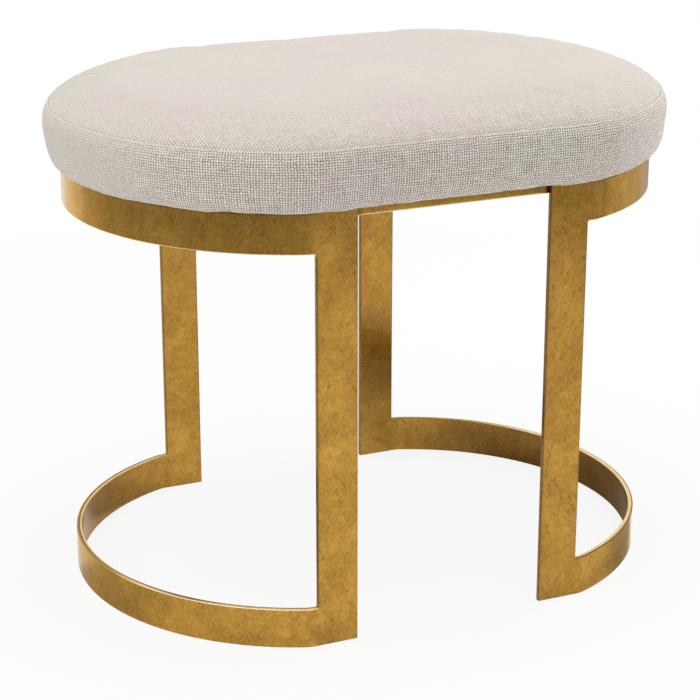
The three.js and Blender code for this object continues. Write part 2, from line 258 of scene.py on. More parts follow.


# Antiqued leaf. Tone = 0.36 cloud + 0.29 body + 0.35 mottle, noise of three sizes. Thin brush strokes,
# each (slant in degrees, shift, colour, strength), cross it in patches, veins are the lines where a noise
# passes 0.5, dark specks lie in drifts, and three point attributes paint shade and dark reflections on
# faces, paint shade along edges and paint highlights along edges.
def makeGold():
    look = goldLook
    material, n, shader = newMaterial("goldLeaf", look["middle"], {
        "Metallic": 1.0, "Specular Tint": look["grazing"],
        "Coat Weight": look["coat"], "Coat Roughness": look["coatRough"]})
    where = n.place()
    cloud = n.noise(where, 24, 3, 0.5, 0.6)
    body = n.noise(where, 105, 4, 0.6, 0.9)
    mottle = n.noise(where, 560, 2, 0.6)
    tone = n.scaled(cloud, look["cloud"], n.scaled(body, look["body"], n.times(mottle, look["mottle"])))
    colour = n.ramp(tone, [(0.35, look["dark"]), (0.50, look["middle"]), (0.65, look["light"])])
    olive = n.band(n.noise(where, 62, 3, 0.6), 0.50, 0.68)
    colour = n.mix(n.times(olive, 0.25), colour, look["olive"])
    for slant, shift, shown, amount in look["strokes"]:
        turned = n.mapping(where, turn=(0, slant, 0), location=(shift, 0, 0))
        stroke = n.band(n.noise(n.mapping(turned, scale=look["strokeScale"]), 1.0, 2, 0.5), 0.58, 0.66)
        patch = n.band(n.noise(turned, 48, 2), 0.41, 0.57)
        colour = n.mix(n.times(stroke, patch, amount), colour, look[shown])
    fromHalf = n.math("ABSOLUTE", n.math("SUBTRACT", n.noise(where, 62, 3, 0.6, 1.2), 0.5))
    vein = n.times(n.fade(fromHalf, 0.002, 0.012), n.band(n.noise(where, 95, 2), 0.48, 0.62))
    colour = n.mix(n.times(vein, 0.55), colour, look["vein"])
    drift = n.band(n.noise(where, 75, 3, 0.6), 0.46, 0.64)
    speck = n.times(n.band(n.noise(where, 620, 3, 0.6), 0.58, 0.70), drift)
    colour = n.mix(n.times(speck, 0.55), colour, look["speck"])
    # Painted shade and dark reflections on faces, then painted shade and painted highlights along edges
    glazed = n.mark("glazed")
    glaze = n.times(glazed, n.scaled(body, 1.2, 0.4, clamp=True))
    colour = n.mix(glaze, colour, n.mix(1.0, colour, look["glazeTint"], "MULTIPLY"))
    dark = n.times(n.mark("arris"), n.scaled(n.noise(where, 160, 3), 0.8, 0.4, clamp=True))
    colour = n.mix(dark, colour, look["edge"])
    bright = n.times(n.mark("paintedHighlight"), n.scaled(n.noise(where, 60, 3), 0.8, 0.5, clamp=True))
    colour = n.mix(bright, colour, look["paintedHighlight"])
    rough = n.scaled(mottle, look["roughSpread"], look["rough"] - look["roughSpread"] / 2)
    rough = n.scaled(glazed, 0.12, n.scaled(speck, 0.2, rough))
    n.dress(shader, colour, rough, 0.12, 0.2, n.noise(where, 700, 3))
    return material


# Plain weave in the piece's own cloth coordinates (metres), turned by an angle and counted in yarns as
# (u, v). A yarn's section is |sin(pi u)| or |sin(pi v)|, and sin(pi u) sin(pi v) says which of the two
# lies on top. A ramp over the yarns' height paints shade in the pinholes and between yarns and a highlight
# on the yarn tops, and a point attribute fades that painted shade and flattens the yarns where it is 0.
def makeLinen(name, turn, tint):
    look = linenLook
    material, n, shader = newMaterial(name, look["yarn"], {
        "Roughness": 0.9, "Specular IOR Level": 0.25, "Sheen Weight": 0.22, "Sheen Roughness": 0.45})
    cloth = n.add("ShaderNodeUVMap", uv_map="weave").outputs[0]
    acrossPitch, alongPitch = look["pitch"]
    turned = n.mapping(cloth, turn=(0, 0, turn))
    yarns = n.mapping(turned, scale=(1 / (acrossPitch * mm), 1 / (alongPitch * mm), 1))
    for scale, far in ((0.11, 0.8), (0.55, 0.7)):    # yarns stray in long waves, then from knot to knot
        stray = n.add("ShaderNodeTexNoise", {"Vector": yarns, "Scale": scale, "Detail": 1.0})
        yarns = n.vector("ADD", yarns, n.vector("MULTIPLY", stray.outputs["Color"], (far, far, 0)))
    split = n.add("ShaderNodeSeparateXYZ", {"Vector": yarns})
    waveU, waveV = (n.math("SINE", n.times(split.outputs[axis], math.pi)) for axis in (0, 1))
    over = n.times(waveU, waveV)
    fatU = n.noise(n.mapping(yarns, scale=(0.95, 0.12, 1)), 1.0, 2)
    fatV = n.noise(n.mapping(yarns, scale=(0.12, 0.95, 1), location=(40, 0, 0)), 1.0, 2)
    warp = n.times(n.math("ABSOLUTE", waveU), n.scaled(over, 0.42, 0.62), n.scaled(fatU, 1.3, 0.35))
    weft = n.times(n.math("ABSOLUTE", waveV), n.scaled(over, -0.36, 0.58), n.scaled(fatV, 1.3, 0.35))
    height = n.times(n.math("MAXIMUM", warp, weft), n.scaled(over, 0.14, 1.0))
    colour = n.ramp(height, [
        (0.12, look["hole"]), (0.34, look["valley"]), (0.56, look["yarn"]), (0.90, look["top"])])
    # painted pinhole shade fades to the plain colour where the attribute is low
    pinholeShadeAndRelief = n.mark("weaveShadeAndRelief")
    colour = n.mix(pinholeShadeAndRelief, look["closed"], colour)
    # painted highlight along the rolled seam edge
    colour = n.mix(n.mark("ridge"), colour, look["ridge"])
    shade, fleck = n.scaled(n.noise(cloth, 11, 3), 0.08, 0.96), n.scaled(n.noise(cloth, 300, 2), 0.30, 0.85)
    colour = n.vector("MULTIPLY", colour, n.times(shade, fleck))
    cast = n.mix(n.band(n.noise(cloth, 7, 2), 0.35, 0.65), look["pinkCast"], look["greenCast"])
    colour = n.mix(1.0, colour, cast, "MULTIPLY")
    colour = n.mix(1.0, colour, tint, "MULTIPLY")
    fuzz = n.noise(yarns, 3.5, 2)
    n.dress(shader, colour, None, n.times(pinholeShadeAndRelief, 0.55), look["relief"], n.scaled(fuzz, 0.15, height))
    return material


# Black non-woven lining: pressed dots 1.2 mm apart over matted fibres.
def makeLining():
    material, n, shader = newMaterial("liningCloth", srgb(38, 37, 38), {"Roughness": 0.95})
    where = n.place()
    dots = n.add("ShaderNodeTexVoronoi", {"Vector": where, "Scale": 850.0, "Randomness": 0.15})
    dot = n.band(dots.outputs["Distance"], 0.18, 0.42)
    fibres = n.noise(n.mapping(n.mapping(where, turn=(0, 0, 30)), scale=(900, 160, 900)), 1.0, 3)
    tone = n.scaled(fibres, 0.5, n.times(dot, 0.35))
    colour = n.ramp(tone, [(0.15, srgb(22, 21, 22)), (0.75, srgb(58, 57, 58))])
    n.dress(shader, colour, n.scaled(fibres, 0.2, 0.78), 0.5, 0.3, tone)
    return material


# Birch ply: long grain on the faces, plies as bands in height on the edge.
def makePlywood():
    material, n, shader = newMaterial("birchPly", srgb(205, 172, 128))
    where = n.place()
    grain = n.noise(n.mapping(where, scale=(9, 160, 700)), 1.0, 5, 0.6)
    plies = n.add("ShaderNodeTexWave", {
        "Vector": where, "Scale": 70.0, "Distortion": 0.3}, bands_direction="Z")
    tone = n.scaled(plies.outputs["Fac"], 0.25, grain)
    colour = n.ramp(tone, [(0.35, srgb(176, 138, 92)), (0.8, srgb(222, 192, 150))])
    n.dress(shader, colour, n.scaled(grain, 0.2, 0.5), 0.3, 0.2, grain)
    return material


# Zinc-plated steel: faint blue-yellow bloom and fine turning marks.
def makeZinc():
    material, n, shader = newMaterial("zincPlate", srgb(176, 178, 180), {"Metallic": 1.0})
    where = n.place()
    colour = n.ramp(n.noise(where, 140, 4), [(0.35, srgb(158, 162, 170)), (0.65, srgb(198, 194, 182))])
    scuff = n.noise(n.mapping(where, scale=(300, 300, 2500)), 1.0, 3)
    n.dress(shader, colour, n.scaled(scuff, 0.25, 0.2), 0.2, 0.1, scuff)
    return material


# Open-cell foam: small pores on a pale yellow body.
def makeFoam():
    material, n, shader = newMaterial("seatFoam", srgb(226, 214, 178), {"Roughness": 0.95})
    pores = n.add("ShaderNodeTexVoronoi", {"Vector": n.place(), "Scale": 700.0}).outputs["Distance"]
    colour = n.ramp(pores, [(0.1, srgb(190, 176, 140)), (0.6, srgb(232, 221, 188))])
    n.dress(shader, colour, None, 0.5, 0.5, pores)
    return material


gold = makeGold()
# The side copy is tinted a little darker than the top copy: painted shade on the cushion's side
linenTop = makeLinen("linenTop", -4.5, srgb(250, 251, 252))
linenSide = makeLinen("linenSide", 0, srgb(248, 248, 248))
lining = makeLining()
plywood = makePlywood()
zinc = makeZinc()
foam = makeFoam()
print("finishes made")


# Rows of a rectangle's outline, each corner a quarter circle, centre + r (cos a, sin a), with two more
# points on the flat at each end of it, so that the flats shade flat and a mark can fade out along them.
# Arguments are arrays with one value per row, radii has four columns (++, -+, --, +-), and far is how far
# along x and y the outer of the two points lies.
def roundedLoop(xLow, xHigh, yHalf, radii, far, steps=4, near=0.15):
    bends = np.linspace(0, 90, steps)
    turn = np.arange(4)[:, None] * 90 + bends[None, [0, 0] + list(range(steps)) + [-1, -1]]
    a = np.radians(turn).ravel()
    alongX, alongY = far
    ends = [(alongY, alongX), (alongX, alongY)] * 2
    slide = np.concatenate([[-start, -near] + [0] * steps + [near, end] for start, end in ends])
    corner = np.repeat(np.arange(4), steps + 4)
    r = radii[:, corner]
    right = np.isin(corner, (0, 3))
    up = np.isin(corner, (0, 1))
    cx = np.where(right, xHigh[:, None] - r, xLow[:, None] + r)
    cy = np.where(up, yHalf[:, None] - r, r - yHalf[:, None])
    return cx + r * np.cos(a) - slide * np.sin(a), cy + r * np.sin(a) + slide * np.cos(a)


legWear = {
    "sharp": 0.001,                          # rounding left on the outer edge where a band joins
    "pastEnd": 0.2,                          # a row this far past the rounded end
    "joint": (-0.05, 0, 0.5, 1.0, 4),        # rows this far past a band's edge
    "shaft": (0.15, 0.85, 15),               # rows between: shares of the height, and how many
    "edge": 1.2, "freeEdge": 3.0,            # painted shade along an arris, and how soon it starts past a band
    "innerPart": 6,                          # this near the inner edge it runs the whole way
    "foot": 1.3, "footShare": 0.8,           # painted shade along the foot, where it meets the floor
    # (side, face): from, to in mm above the floor, share of painted shade (a dark reflection on the leg);
    # and how softly it starts and ends
    "glaze": {(1, 1): (-60, 460, 0.15), (1, -1): (-60, 460, 0.12), (-1, 1): (150, 460, 0.16)},
    "fade": 60,
}


# A leg: the bar's outline carried up in z, its ends rounded, its outer arrises sharp where a band joins.
# Returns the grid, the painted shade along each arris and the painted shade lying on the leg.
def legGrid(side, face):
    wear = legWear
    r = endFrame["arris"]
    h = endFrame["height"]
    band = endFrame["band"]
    a = np.radians([0, 30, 60, 90])
    joint = band + np.array(wear["joint"])
    lower = np.concatenate([r * (1 - np.cos(a)), [r + wear["pastEnd"]], joint])
    z = np.concatenate([lower, np.linspace(*wear["shaft"]) * h, h - lower[::-1]])
    inset = np.zeros(len(z))
    inset[:len(a)] = r * (1 - np.sin(a))
    inset[-len(a):] = inset[:len(a)][::-1]
    pastBand = np.minimum(z, h - z) - band
    outer = smoothStep(pastBand) * r + wear["sharp"]
    inner = np.full(len(z), r)
    radii = np.stack([outer, inner, inner, outer], 1)
    halfBar = endFrame["bar"] / 2
    x, y = roundedLoop(legInner + inset, np.full(len(z), legOuter), halfBar - inset, radii, far=(2.4, 0.5))
    grid = np.stack([side * x, face * (y + halfDepth - halfBar), np.repeat(z[:, None], x.shape[1], 1)], -1)
    fromInner = np.abs(x - legInner)
    fromEdge = np.minimum(fromInner, np.abs(legOuter - x))
    free = np.where(fromInner < wear["innerPart"], 1.0, smoothStep(pastBand / wear["freeEdge"])[:, None])
    arris = nearBy(fromEdge, wear["edge"], wear["edge"]) * free
    arris = np.maximum(arris, wear["footShare"] * nearBy(z, wear["foot"], wear["foot"])[:, None])
    low, high, amount = wear["glaze"].get((side, face), (0, h, 0.0))
    patch = amount * smoothStep((z - low) / wear["fade"]) * smoothStep((high - z) / wear["fade"])
    return grid, {"arris": arris, "glazed": np.broadcast_to(patch[:, None], x.shape)}


bandSteps = {"bend": 40, "knots": 11, "arc": 45}


# Outer line of the right band from its front end round to its back end. Its direction f turns from 0 to
# f1 over the bend, then steadily on radius R to 180 degrees: x = x0 + sum cos f, y = y0 + sum sin f.
def bandPath():
    bend, count = endFrame["bend"], bandSteps["bend"]
    u = (np.arange(count) + 0.5) / count
    f1 = math.radians(20)    # first guess
    for _ in range(20):
        f = f1 * smoothStep(u)
        runX, runY = bend * np.cos(f).mean(), bend * np.sin(f).mean()
        f1 = 2 * (math.pi / 4 - math.atan((bandBulge - runX) / (halfDepth - runY)))
    radius = (halfDepth - runY) / math.cos(f1)
    knots = np.linspace(0, 1, bandSteps["knots"])
    along = np.append(0, u + 0.5 / count)
    x = legOuter + np.interp(knots, along, bend * np.append(0, np.cumsum(np.cos(f)) / count))
    y = -halfDepth + np.interp(knots, along, bend * np.append(0, np.cumsum(np.sin(f)) / count))
    arc = np.linspace(f1, math.pi / 2, bandSteps["arc"] + 1)[1:]
    x = np.append(x, halfLength - radius * (1 - np.sin(arc)))
    y = np.append(y, -radius * np.cos(arc))
    turned = np.append(f1 * smoothStep(knots), arc)
    x = np.append(x, x[-2::-1])
    y = np.append(y, -y[-2::-1])
    turned = np.append(turned, math.pi - turned[-2::-1])
    return x, y, turned


bandWear = {
    "level": 1.9, "levelFade": 0.7,          # mark on the level face beside an arris, in mm from the corner
    "leftLevel": 2.7,                        # the same, on the left bottom band's edge with a painted highlight
    "upright": 1.0, "uprightFade": 0.3,      # mark down the arris itself
    "glaze": 0.15, "farShade": 0.5,          # painted shade on the inner face, beside the legs and more away from them
    "farFromLeg": 110,
    "skin": 0.3, "flat": 0.01,               # nearer than this counts as on a side face, or on a level one
    "topEdge": 3.52, "topEdgeFade": 2.2,     # painted shadow along a top band's upper edge, under the cushion
    "leftFront": (1.75, 0.3),                # direction in radians and spread of a change along a band
    # where painted shade starts on the right bottom band's top, towards the back
    "rightShaded": (2.0, 0.5),
    # direction, spread and share of a painted dark reflection on the left top band's outer face
    "darkReflection": (2.56, 0.17), "darkReflectionShare": 0.25,
    # painted shade on the left bottom band's top, a painted highlight on the right one's top, painted shade
    # behind it, painted shade on the bottom bands' outer arris at the floor
    "leftTopShade": 0.95, "rightTopShine": 0.95, "rightTopShaded": 0.6, "lowEdge": 0.7,
}


# A band: the bar on edge, its outline carried along bandPath with the outer face on the line. Both bottom
# bands have painted shade on the outer arris at the floor. The left one's level top has painted shade, with
# painted shade on the inner and a painted highlight on the outer arris in front, and a painted highlight on
# the inner arris behind. The right one's top has a painted highlight in front and painted shade behind, with
# painted shade on the outer arris. A top band has a painted shadow along its upper edge, under the cushion,
# a painted highlight on its outer lower arris, and on the left one a painted dark reflection,
# exp(-((f - 2.56) / 0.17)^2). Painted shade grows along the inner faces away from the legs.
def bandGrid(side, low):
    wear = bandWear
    x, y, turned = bandPath()
    count = len(x)
    bar = float(endFrame["bar"])
    half = endFrame["band"] / 2
    r = np.full((count, 4), endFrame["arris"])
    inward, up = roundedLoop(np.zeros(count), np.full(count, bar), np.full(count, half), r, far=(1.3, 2.4))
    out = np.stack([np.sin(turned), -np.cos(turned)], 1)
    grid = np.stack([
        x[:, None] - inward * out[:, :1],
        y[:, None] - inward * out[:, 1:],
        low + half + up], -1)
    grid[[0, -1], :, 0] = legOuter
    grid[..., :2] *= side

    # Mark of an arris: (1.9 - d) / 0.7 at d mm from it on the level face, (1.0 - d) / 0.3 down beside it.
    def corner(across, drop, wide=wear["level"]):
        level = nearBy(across, wide, wear["levelFade"])
        upright = nearBy(drop, wear["upright"], wear["uprightFade"]) * (across < wear["upright"])
        return np.where(drop < wear["flat"], level, upright)

    # 0 until the line reaches a direction, then up to 1 over a spread.
    def past(place):
        direction, spread = place
        return smoothStep((turned - direction) / spread)[:, None]

    outerHigh, innerHigh = corner(inward, half - up), corner(bar - inward, half - up)
    outerLow = corner(inward, half + up)
    topFace = np.where(up > half - wear["flat"], 1 - np.maximum(outerHigh, innerHigh), 0.0)
    innerFace = nearBy(bar - inward, wear["skin"], wear["skin"])
    run = np.concatenate([[0], np.cumsum(np.hypot(np.diff(x), np.diff(y)))])
    fromLeg = smoothStep(np.minimum(run, run[-1] - run) / wear["farFromLeg"])[:, None]
    glazed = innerFace * (wear["glaze"] + wear["farShade"] * fromLeg)
    if low > 0:
        arris = np.where(inward < bar / 2, nearBy(half - up, wear["topEdge"], wear["topEdgeFade"]), 0.0)
        paintedHighlight = outerLow
        if side < 0:
            middle, spread = wear["darkReflection"]
            darkReflection = np.exp(-((turned - middle) / spread) ** 2)[:, None]
            glazed = glazed + wear["darkReflectionShare"] * darkReflection * (inward < wear["skin"])
    elif side < 0:
        front = past(wear["leftFront"])    # this band's line starts at the back
        glazed = glazed + wear["leftTopShade"] * topFace
        arris = innerHigh * front + wear["lowEdge"] * outerLow
        paintedHighlight = corner(inward, half - up, wear["leftLevel"]) * front + innerHigh * (1 - front)
    else:
        shadedBehind = past(wear["rightShaded"])
        arris = outerHigh + wear["lowEdge"] * outerLow + wear["rightTopShaded"] * topFace * shadedBehind
        paintedHighlight = wear["rightTopShine"] * (topFace + innerHigh) * (1 - shadedBehind)
    return grid, {"arris": arris, "glazed": glazed, "paintedHighlight": paintedHighlight}


# size: leg of the fillet; bite: how far it sinks into the bars; inset: how far it stays off their faces
weld = {"size": 1.2, "bite": 0.02, "inset": 0.35}


# Fillet in an inner corner: a square corner with its long side hollowed, q = w (1 - sin a, 1 - cos a).
def weldGrid(side, face, level):
    a = np.radians(np.linspace(0, 90, 7))
    x = np.append(0, weld["size"] * (1 - np.sin(a))) - weld["bite"]
    z = np.append(0, weld["size"] * (1 - np.cos(a))) - weld["bite"]
    deep = np.array([weld["inset"], endFrame["bar"] - weld["inset"]])
    z = endFrame["band"] + z
    if level == "Top":
        z = endFrame["height"] - z
    return np.stack(np.broadcast_arrays(side * (legOuter + x), face * (halfDepth - deep)[:, None], z), -1)


rail = {
    "wide": 32, "thick": 9, "arris": 0.8,
    "innerRow": 40,                      # where its one row between the middle and the end lies
    "paintedHighlight": 1.0, "highlightFade": 0.3,    # painted highlight on the lower arris
    "endFade": 9, "endShare": 0.75,      # painted shade at the end beside a leg
    "upper": 3.5, "upperShare": 0.7,     # painted shadow along the upper edge, under the cushion
}


# A rail: a flat bar from leg to leg, its outline across (y, z) carried along x, with a painted highlight
# on its lower arris and painted shade at its ends and along its upper edge.
def railGrid(face):
    half, thick = rail["wide"] / 2, rail["thick"] / 2
    right = np.array([0, rail["innerRow"], legInner - rail["endFade"], legInner, legOuter], float)
    x = np.append(-right[:0:-1], right)
    count = len(x)
    r = np.full((count, 4), rail["arris"])
    low, high = np.full(count, -half), np.full(count, half)
    across, up = roundedLoop(low, high, np.full(count, thick), r, far=(2.4, 1.6))
    yMiddle = halfDepth - endFrame["bar"] - half
    grid = np.stack(np.broadcast_arrays(
        x[:, None], face * (yMiddle + across), endFrame["height"] - thick + up), -1)
    lower = np.hypot(half - np.abs(across), thick + up)
    paintedHighlight = nearBy(lower, rail["paintedHighlight"], rail["highlightFade"])
    atEnd = 1 - smoothStep((legInner - np.abs(x)) / rail["endFade"])[:, None]
    upper = nearBy(thick - up, rail["upper"], rail["upper"])
    dark = np.maximum(rail["endShare"] * atEnd, rail["upperShare"] * upper)
    return grid, {"paintedHighlight": paintedHighlight * (1 - atEnd), "arris": dark}


# Faces outwards. Before that, unless near is 0, points closer than near (mm) become one and faces that
# fall flat go.
def mended(piece, near=0.02):
    work = bmesh.new()
    work.from_mesh(piece.data)
    if near:
        bmesh.ops.remove_doubles(work, verts=work.verts, dist=near * mm)
        bmesh.ops.dissolve_degenerate(work, edges=work.edges, dist=1e-7)
    bmesh.ops.recalc_face_normals(work, faces=work.faces)
    work.to_mesh(piece.data)
    work.free()
    piece.data.polygons.foreach_set("use_smooth", np.full(len(piece.data.polygons), True))
    return piece


# A bar in gold leaf, creased wherever two faces meet at more than 40 degrees.
def makeBar(name, grid, marks, near, *replaced):
    bar = mended(addGrid(name, grid, marks=marks, capped=True), near)
    bar.data.set_sharp_from_angle(angle=math.radians(40))
    finishPiece(bar, gold, "gold_leaf", *replaced)


sides = {"left": -1, "right": 1}
faces = {"front": -1, "back": 1}
for sideName, side in sides.items():
    for level, low in (("Top", endFrame["height"] - endFrame["band"]), ("Bottom", 0)):
        makeBar(f"{sideName}{level}Band", *bandGrid(side, low), 0, f"{sideName}_{level.lower()}_band")
    for faceName, face in faces.items():
        corner = f"{faceName}{sideName.title()}"
        makeBar(f"{corner}Leg", *legGrid(side, face), 0.02, f"{faceName}_{sideName}_leg")
        for level in ("Top", "Bottom"):
            makeBar(f"{corner}{level}Weld", weldGrid(side, face, level), None, 0)
for faceName, face in faces.items():
    makeBar(f"{faceName}Rail", *railGrid(face), 0, f"{faceName}_rail")
print("end frames made")


# Eight runs round the seat: start centre, end centre, radius, start angle, end angle. A point at a share
# f of a run and an outset o is centre(f) + (radius + o) (cos a(f), sin a(f)). The last four runs are the
# first four turned half round.
def planTable():
    c = seat["corner"]
    cornerY = halfDepth - c
    cornerX = bandCentre + math.sqrt((bandRadius - c) ** 2 - cornerY ** 2)
    e = math.atan2(cornerY, cornerX - bandCentre)
    q = math.pi / 2
    first = np.array([
        [-cornerX, cornerY, cornerX, cornerY, c, q, q],
        [cornerX, cornerY, cornerX, cornerY, c, q, e],
        [bandCentre, 0, bandCentre, 0, bandRadius, e, -e],
        [cornerX, -cornerY, cornerX, -cornerY, c, -e, -q],
    ])
    return np.concatenate([first, first * [-1, -1, -1, -1, 1, 1, 1] - [0, 0, 0, 0, 0, math.pi, math.pi]])


# Points evenly spaced along the seam, clockwise from above, starting half a step past the middle of the
# back so that both halves match: (base point, outward direction, length so far, whole length).
def planLine(count):
    runs = planTable()
    straight = np.hypot(runs[:, 2] - runs[:, 0], runs[:, 3] - runs[:, 1])
    lengths = straight + (runs[:, 4] + seat["seamOut"]) * np.abs(runs[:, 6] - runs[:, 5])
    ends = np.cumsum(lengths)
    s = (np.arange(count) + 0.5) * ends[-1] / count
    place = (s + lengths[0] / 2) % ends[-1]
    run = np.searchsorted(ends, place, side="right")
    f = (place - (ends - lengths)[run]) / lengths[run]
    r = runs[run]
    a = r[:, 5] + (r[:, 6] - r[:, 5]) * f
    out = np.stack([np.cos(a), np.sin(a)], 1)
    base = r[:, :2] + (r[:, 2:4] - r[:, :2]) * f[:, None] + r[:, 4:5] * out
    return base, out, s, ends[-1]


base, out, seamRun, seamTotal = planLine(seat["columns"])


# Slow wave along the seam, the same at both ends: mean of sin(2 pi k s / total + p) with whole k.
def wander(seed, low, high):
    draw = np.random.default_rng(seed)
    waves = draw.integers(low, high, 6)
    phases = draw.uniform(0, 2 * math.pi, 6)
    return np.sin(2 * math.pi * seamRun[:, None] / seamTotal * waves + phases).mean(1)


# The point of the seat's long middle line that each plan point is drawn towards.
def middleLine(plan):
    return np.stack([np.clip(plan[:, 0], -seatCore, seatCore), np.zeros(len(plan))], 1)


# Rows of the plan shrunk towards its middle line, one row per share, 1 the plan itself.
def shrunkRows(plan, shares):
    core = middleLine(plan)
    return core[None] + (plan - core)[None] * np.asarray(shares)[:, None, None]


# Plan points (x, y) with their heights, as (x, y, z).
def withHeight(plan, z):
    return np.concatenate([plan, np.broadcast_to(z, plan.shape[:2])[..., None]], -1)


# How far the cloth's side stands out at a share s of its height: 4.3 + 4.4 s + 6.9 (1 - |2s - 1|^2.9).
def sideOutset(s):
    swell = 1 - np.abs(2 * s - 1) ** seat["bulgePower"]
    return seat["hemOut"] + (seat["seamOut"] - seat["hemOut"]) * s + seat["bulge"] * swell


# Height at a share s: 397.6 + 54 s.
def sideHeight(s):
    return seat["rollZ"] + (seat["seamZ"] - seat["rollZ"]) * s


clothSide = {
    "hemEnd": 0.9, "lip": 1.8, "lipDrop": 0.9,             # the hem lies flat, then steps down
    "rollOut": 2.6, "rollWide": 2.0, "rollHigh": 1.9,      # and rolls round into the side
    "rows": ((0.03, 0.9, 27), (0.92, 0.978, 8)),           # up the side: shares from, to, and how many
    "allowance": 13.0, "allowanceEdge": 1.6, "allowanceLift": 0.35,
    "droop": 0.9, "smallDroop": 0.6, "pull": 1.62,         # waves of the lower edge and of the side
    "bandDroop": 0.7, "bandSoft": 12,                      # drop over a band
    "hungFrom": 1.5, "hungTo": 0.35,                       # outset and share between which the edge hangs
    # painted highlight along the rolled seam edge, with the painted pinhole shade faded there
    "ridgeFrom": 0.976, "ridgeSoft": 0.012, "ridgeShadeFade": 0.7, "ridgeShown": 0.75,
    "calm": 0.55, "calmFrom": 215, "calmSoft": 60,         # less painted pinhole shade towards the seat's ends
}


# Cloth's outer line from the hem to the seam as (outset, z, share up the side, top z). Small rolls close
# the side below and, on radius "ridge", above, and the seam allowance lifts its top 13 mm a little.
def sideProfile():
    side = clothSide
    s = np.concatenate([np.linspace(*part) for part in side["rows"]])
    z = sideHeight(s)
    below = seat["seamZ"] - z
    lift = side["allowanceLift"] * smoothStep((side["allowance"] - below) / side["allowanceEdge"])
    outset = sideOutset(s) + lift
    hem = np.linspace(seat["hemOut"] - seat["hemWidth"], side["hemEnd"], 7)
    a = np.radians([10, 35, 60, 80])
    lowOut = np.concatenate([hem, [side["lip"]], side["rollOut"] + side["rollWide"] * np.sin(a)])
    rollZ = seat["rollZ"] + side["rollHigh"] * (1 - np.cos(a))
    lowZ = np.concatenate([np.full(len(hem), seat["hemZ"]), [seat["hemZ"] - side["lipDrop"]], rollZ])
    lean = np.arctan2(outset[-2] - outset[-1], z[-1] - z[-2])
    b = lean + np.radians([15, 30, 45, 60, 75, 88])
    overOut = outset[-1] + seat["ridge"] * (np.cos(b) - math.cos(lean))
    overZ = z[-1] + seat["ridge"] * (np.sin(b) - math.sin(lean))
    profileOut = np.concatenate([lowOut, outset, overOut])
    profileZ = np.concatenate([lowZ, z, overZ])
    share = np.concatenate([np.zeros(len(lowOut)), s, np.ones(len(overOut))])
    return profileOut, profileZ, share, overZ.max()


# Share of a cloth's painted pinhole shade left at each column, 1 - calm towards the seat's ends, for so many
# rows.
def calmed(cloth, rows):
    towardsEnd = smoothStep((np.abs(base[:, 0]) - cloth["calmFrom"]) / cloth["calmSoft"])
    return np.tile(1 - cloth["calm"] * towardsEnd, rows)


# The side profile carried round the plan. The lower edge hangs a little lower here and there,
# z = z0 + droop, more where it passes over a band, and faint pulls move the side in and out.
def boxingGrid():
    side = clothSide
    o, z, share, lipZ = sideProfile()
    droop = wander(4, 5, 24) * side["droop"] + wander(9, 24, 60) * side["smallDroop"]
    droop = droop - side["bandDroop"] * smoothStep((np.abs(base[:, 0]) - legInner) / side["bandSoft"])
    hung = np.where(o > side["hungFrom"], 1.0, 0.0) * (1 - smoothStep(share / side["hungTo"]))
    pulled = o[:, None] + side["pull"] * (share * (1 - share))[:, None] * wander(21, 18, 70)[None, :]
    plan = base[None, :, :] + pulled[..., None] * out[None, :, :]
    grid = withHeight(plan, z[:, None] + droop[None, :] * hung[:, None])
    run = np.append(0, np.cumsum(np.hypot(np.diff(o), np.diff(z))))
    acrossPitch = linenLook["pitch"][0]
    whole = round(seamTotal / (2 * acrossPitch)) * 2 * acrossPitch
    u = np.append(seamRun, seamTotal + seamRun[0]) * whole / seamTotal * mm
    uv = np.stack(np.broadcast_arrays(u[None, :], run[:, None] * mm), -1)
    ridge = np.repeat(smoothStep((share - side["ridgeFrom"]) / side["ridgeSoft"]), len(base))
    pinholeShadeAndRelief = calmed(side, len(o)) * (1 - side["ridgeShadeFade"] * ridge)
    return grid, uv, {"weaveShadeAndRelief": pinholeShadeAndRelief, "ridge": side["ridgeShown"] * ridge}, lipZ


# Height of the crown, 0 at the seam and 1 on the middle line: S(e) = sqrt(1 - (1 - e)^6), started at
# e0 = 0.01 so that it leaves the seam at a slant, as (S - S0) / (1 - S0).
def crownRise(e):
    start = seat["riseStart"]
    full = np.sqrt(1 - (1 - start - (1 - start) * e) ** seat["risePower"])
    first = math.sqrt(1 - (1 - start) ** seat["risePower"])
    return (full - first) / (1 - first)


crownCloth = {
    "tuckOut": (-1.5, -0.95, -0.55), "tuckDown": (-1.9, -1.2, -0.6),    # rows hidden under the seam
    "startIn": 0.27, "startDown": 0.15,                                 # first row seen beside the ridge
    "rows": 58, "lump": 0.6, "lumpOver": 1.6,                           # slow lumps, gone at seam and middle
    "weaveShadeAndRelief": 0.66, "shadeFadeAway": 0.48, "shadeFadeOver": 70,                         # painted pinhole shade fades away from the seam
    "calm": 0.45, "calmFrom": 200, "calmSoft": 70,
}


